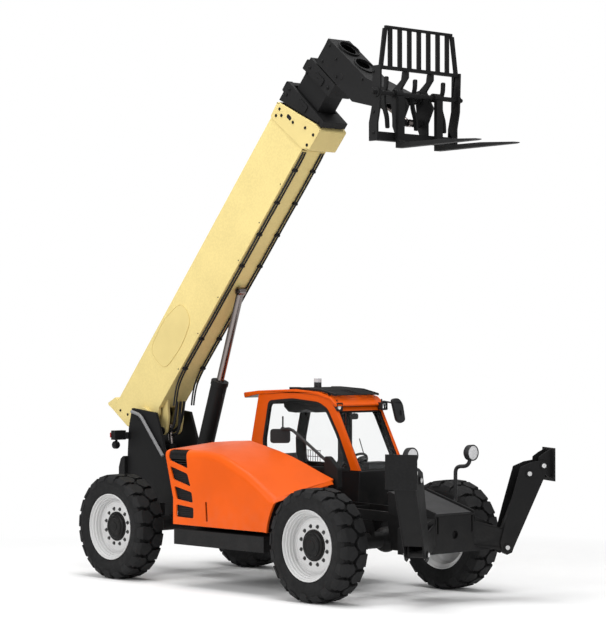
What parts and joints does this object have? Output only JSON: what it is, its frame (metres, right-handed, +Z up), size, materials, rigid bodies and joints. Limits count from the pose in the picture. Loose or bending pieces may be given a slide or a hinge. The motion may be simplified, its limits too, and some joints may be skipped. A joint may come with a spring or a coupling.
{
  "type": "telescopic handler",
  "caption": "Rough-terrain telehandler with a four-section boom raised over a fork carriage, a side cab, an engine hood, four steered wheels and two front outriggers.",
  "frame": {"origin": "on the ground under the middle of the machine's bounding box", "axes": "+X is the machine's forward direction, +Y its left and +Z up"},
  "size_m": [6.6621, 2.6526, 6.6083],
  "materials": {
    "orange_paint": "gloss",
    "cream_paint": "gloss",
    "black_paint": "satin",
    "silver_paint": "satin",
    "rubber_tyre": "matte",
    "chrome_rod": "polished",
    "pane": "clear",
    "lamp_plastic": "gloss",
    "amber_plastic": "gloss",
    "vinyl": "matte",
    "bare_steel": "brushed"
  },
  "bodies": {
    "chassis": {"main_frame": "black_paint", "counterweight": "black_paint", "front_frame": "black_paint", "front_axle": "black_paint", "rear_axle": "black_paint", "engine_block": "black_paint", "fuel_tank": "black_paint", "oil_tank": "black_paint", "cab_steps": "black_paint", "work_lamps": "lamp_plastic", "rear_lamps": "lamp_plastic", "tower_tubes": "silver_paint", "cab_shell": "orange_paint", "cab_glass": "pane", "roof_guard": "black_paint", "seat": "vinyl", "controls": "vinyl", "beacon": "amber_plastic", "cab_mirror": "lamp_plastic"},
    "cab_door": {"cab_door": "orange_paint", "cab_door_glass": "pane"},
    "hood": {"hood": "orange_paint", "hood_grilles": "black_paint"},
    "boom_base": {"boom_base": "cream_paint"},
    "boom_second": {"boom_second": "black_paint"},
    "boom_third": {"boom_third": "black_paint"},
    "boom_fly": {"boom_fly": "black_paint", "boom_head": "black_paint"},
    "carriage": {"carriage": "black_paint", "fork_shaft": "bare_steel", "fork_left": "black_paint", "fork_right": "black_paint"},
    "knuckle_front_left": {"knuckle_front_left": "black_paint"},
    "wheel_front_left": {"rim_front_left": "silver_paint", "tyre_front_left": "rubber_tyre"},
    "knuckle_front_right": {"knuckle_front_right": "black_paint"},
    "wheel_front_right": {"rim_front_right": "silver_paint", "tyre_front_right": "rubber_tyre"},
    "knuckle_rear_left": {"knuckle_rear_left": "black_paint"},
    "wheel_rear_left": {"rim_rear_left": "silver_paint", "tyre_rear_left": "rubber_tyre"},
    "knuckle_rear_right": {"knuckle_rear_right": "black_paint"},
    "wheel_rear_right": {"rim_rear_right": "silver_paint", "tyre_rear_right": "rubber_tyre"},
    "lift_barrel": {"lift_barrel": "black_paint"},
    "lift_rod": {"lift_rod": "chrome_rod"},
    "level_barrel": {"level_barrel": "black_paint"},
    "level_rod": {"level_rod": "chrome_rod"},
    "tilt_barrel": {"tilt_barrel": "black_paint"},
    "tilt_rod": {"tilt_rod": "chrome_rod"},
    "outrigger_left": {"outrigger_left": "black_paint"},
    "foot_left": {"foot_left": "black_paint"},
    "outrigger_barrel_left": {"outrigger_barrel_left": "black_paint"},
    "outrigger_rod_left": {"outrigger_rod_left": "chrome_rod"},
    "outrigger_right": {"outrigger_right": "black_paint"},
    "foot_right": {"foot_right": "black_paint"},
    "outrigger_barrel_right": {"outrigger_barrel_right": "black_paint"},
    "outrigger_rod_right": {"outrigger_rod_right": "chrome_rod"}
  },
  "joints": [
    {"name": "steer_front_left", "type": "hinge", "parent": "chassis", "child": "knuckle_front_left", "pos_m": [1.51, 0.88, 0.655], "axis": [0, 0, 1], "range_deg": [-40, 40]},
    {"name": "spin_front_left", "type": "hinge", "parent": "knuckle_front_left", "child": "wheel_front_left", "pos_m": [1.51, 1.094, 0.655], "axis": [0, 1, 0], "continuous": true},
    {"name": "steer_front_right", "type": "hinge", "parent": "chassis", "child": "knuckle_front_right", "pos_m": [1.51, -0.88, 0.655], "axis": [0, 0, 1], "range_deg": [-40, 40]},
    {"name": "spin_front_right", "type": "hinge", "parent": "knuckle_front_right", "child": "wheel_front_right", "pos_m": [1.51, -1.094, 0.655], "axis": [0, 1, 0], "continuous": true},
    {"name": "steer_rear_left", "type": "hinge", "parent": "chassis", "child": "knuckle_rear_left", "pos_m": [-2.116, 0.88, 0.655], "axis": [0, 0, -1], "range_deg": [-40, 40]},
    {"name": "spin_rear_left", "type": "hinge", "parent": "knuckle_rear_left", "child": "wheel_rear_left", "pos_m": [-2.116, 1.094, 0.655], "axis": [0, 1, 0], "continuous": true},
    {"name": "steer_rear_right", "type": "hinge", "parent": "chassis", "child": "knuckle_rear_right", "pos_m": [-2.116, -0.88, 0.655], "axis": [0, 0, -1], "range_deg": [-40, 40]},
    {"name": "spin_rear_right", "type": "hinge", "parent": "knuckle_rear_right", "child": "wheel_rear_right", "pos_m": [-2.116, -1.094, 0.655], "axis": [0, 1, 0], "continuous": true},
    {"name": "door_swing", "type": "hinge", "parent": "chassis", "child": "cab_door", "pos_m": [-0.321, 1.155, 1.5], "axis": [0, 0, 1], "range_deg": [0, 80]},
    {"name": "hood_lift", "type": "hinge", "parent": "chassis", "child": "hood", "pos_m": [-0.116, -0.43, 1.7], "axis": [-1, 0, 0], "range_deg": [0, 60]},
    {"name": "boom_lift", "type": "hinge", "parent": "chassis", "child": "boom_base", "pos_m": [-2.716, 0, 2], "axis": [0, -1, 0], "range_deg": [-52.4, 20.6]},
    {"name": "second_slide", "type": "slide", "parent": "boom_base", "child": "boom_second", "axis": [0.6508, 0, 0.7593], "range_m": [0, 3.2]},
    {"name": "third_slide", "type": "slide", "parent": "boom_second", "child": "boom_third", "axis": [0.6508, 0, 0.7593], "range_m": [0, 3.2]},
    {"name": "fly_slide", "type": "slide", "parent": "boom_third", "child": "boom_fly", "axis": [0.6508, 0, 0.7593], "range_m": [0, 3.2]},
    {"name": "carriage_tilt", "type": "hinge", "parent": "boom_fly", "child": "carriage", "pos_m": [1.854, 0, 5.83], "axis": [0, 1, 0], "range_deg": [-62, 58]},
    {"name": "lift_swing", "type": "hinge", "parent": "chassis", "child": "lift_barrel", "pos_m": [-2.034, 0, 0.871], "axis": [0, -1, 0], "range_deg": [-39.7, 15.7]},
    {"name": "lift_slide", "type": "slide", "parent": "lift_barrel", "child": "lift_rod", "axis": [0.329, 0, 0.9443], "range_m": [-1.117, 0.44]},
    {"name": "level_swing", "type": "hinge", "parent": "chassis", "child": "level_barrel", "pos_m": [-2.366, 0, 1.01], "axis": [0, -1, 0], "range_deg": [-4.9, 12.4]},
    {"name": "level_slide", "type": "slide", "parent": "level_barrel", "child": "level_rod", "axis": [-0.1256, 0, 0.9921], "range_m": [-0.119, 0.048]},
    {"name": "tilt_swing", "type": "hinge", "parent": "boom_fly", "child": "tilt_barrel", "pos_m": [0.936, 0, 6.128], "axis": [0, 1, 0], "range_deg": [-10.5, 9.8]},
    {"name": "tilt_slide", "type": "slide", "parent": "tilt_barrel", "child": "tilt_rod", "axis": [0.8418, 0, -0.5399], "range_m": [-0.228, 0.243]},
    {"name": "outrigger_left_swing", "type": "hinge", "parent": "chassis", "child": "outrigger_left", "pos_m": [2.824, 0.66, 0.605], "axis": [-0.891, 0.454, 0], "range_deg": [0, 98]},
    {"name": "foot_left_swing", "type": "hinge", "parent": "outrigger_left", "child": "foot_left", "pos_m": [2.9169, 1.1177, 1.54], "axis": [-0.891, 0.454, 0], "range_deg": [-10, 10]},
    {"name": "outrigger_barrel_left_swing", "type": "hinge", "parent": "chassis", "child": "outrigger_barrel_left", "pos_m": [2.7035, 0.6989, 0.755], "axis": [-0.891, 0.454, 0], "range_deg": [-0.1, 102.8]},
    {"name": "outrigger_rod_left_slide", "type": "slide", "parent": "outrigger_barrel_left", "child": "outrigger_rod_left", "axis": [0.1759, 0.3451, 0.9219], "range_m": [-0.001, 0.2147]},
    {"name": "outrigger_right_swing", "type": "hinge", "parent": "chassis", "child": "outrigger_right", "pos_m": [2.824, -0.66, 0.605], "axis": [0.891, 0.454, 0], "range_deg": [0, 98]},
    {"name": "foot_right_swing", "type": "hinge", "parent": "outrigger_right", "child": "foot_right", "pos_m": [2.9169, -1.1177, 1.54], "axis": [0.891, 0.454, 0], "range_deg": [-10, 10]},
    {"name": "outrigger_barrel_right_swing", "type": "hinge", "parent": "chassis", "child": "outrigger_barrel_right", "pos_m": [2.7035, -0.6989, 0.755], "axis": [0.891, 0.454, 0], "range_deg": [-0.1, 102.8]},
    {"name": "outrigger_rod_right_slide", "type": "slide", "parent": "outrigger_barrel_right", "child": "outrigger_rod_right", "axis": [0.1759, -0.3451, 0.9219], "range_m": [-0.001, 0.2147]}
  ],
  "couplings": [
    {"joint": "steer_front_right", "follows": "steer_front_left", "ratio": 1},
    {"joint": "steer_rear_right", "follows": "steer_rear_left", "ratio": 1},
    {"joint": "third_slide", "follows": "second_slide", "ratio": 1},
    {"joint": "fly_slide", "follows": "second_slide", "ratio": 1},
    {"joint": "lift_swing", "follows": "boom_lift", "ratio": 0.755},
    {"joint": "lift_slide", "follows": "boom_lift", "m_per_rad": 1.22},
    {"joint": "level_swing", "follows": "boom_lift", "ratio": -0.2329},
    {"joint": "level_slide", "follows": "boom_lift", "m_per_rad": 0.1285},
    {"joint": "tilt_swing", "follows": "carriage_tilt", "ratio": 0.1667},
    {"joint": "tilt_slide", "follows": "carriage_tilt", "m_per_rad": -0.2234},
    {"joint": "outrigger_barrel_left_swing", "follows": "outrigger_left_swing", "ratio": 1.0473},
    {"joint": "outrigger_rod_left_slide", "follows": "outrigger_left_swing", "m_per_rad": 0.1249},
    {"joint": "outrigger_barrel_right_swing", "follows": "outrigger_right_swing", "ratio": 1.0473},
    {"joint": "outrigger_rod_right_slide", "follows": "outrigger_right_swing", "m_per_rad": 0.1249}
  ]
}
